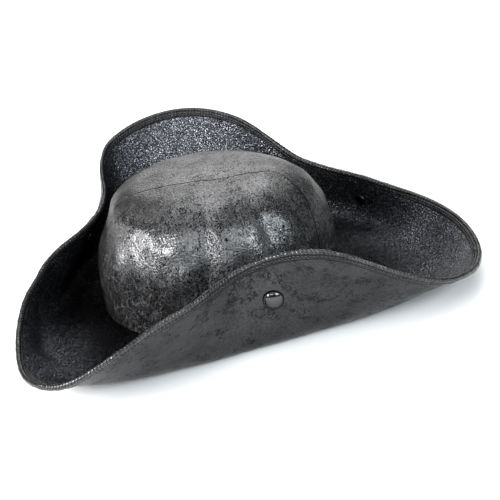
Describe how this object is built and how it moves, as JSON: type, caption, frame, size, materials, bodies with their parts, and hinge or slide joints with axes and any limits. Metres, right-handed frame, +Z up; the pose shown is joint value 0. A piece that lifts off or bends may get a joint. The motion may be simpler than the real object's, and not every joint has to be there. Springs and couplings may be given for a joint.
{
  "type": "tricorn hat",
  "caption": "Black leather tricorn hat: a hollow oval crown on a wide brim folded up into flaps with a bound edge and domed snaps.",
  "frame": {"origin": "on the floor under the middle of the hat's bounding box", "axes": "+X to the hat's front point, +Y to the wearer's left, +Z up from the flat of the brim to the crown"},
  "size_m": [0.3506, 0.3476, 0.1055],
  "materials": {
    "crown_leather": "satin black film, finely crackled to grey",
    "brim_leather": "satin black film with fine grain and grey crackle",
    "binding_leather": "satin black, stitched along its border",
    "black_metal": "polished black lacquer"
  },
  "bodies": {
    "root": {"crown": "crown_leather", "brim": "brim_leather", "edge_binding": "binding_leather", "snap_near": "black_metal", "snap_back": "black_metal", "snap_far": "black_metal"}
  },
  "joints": []
}
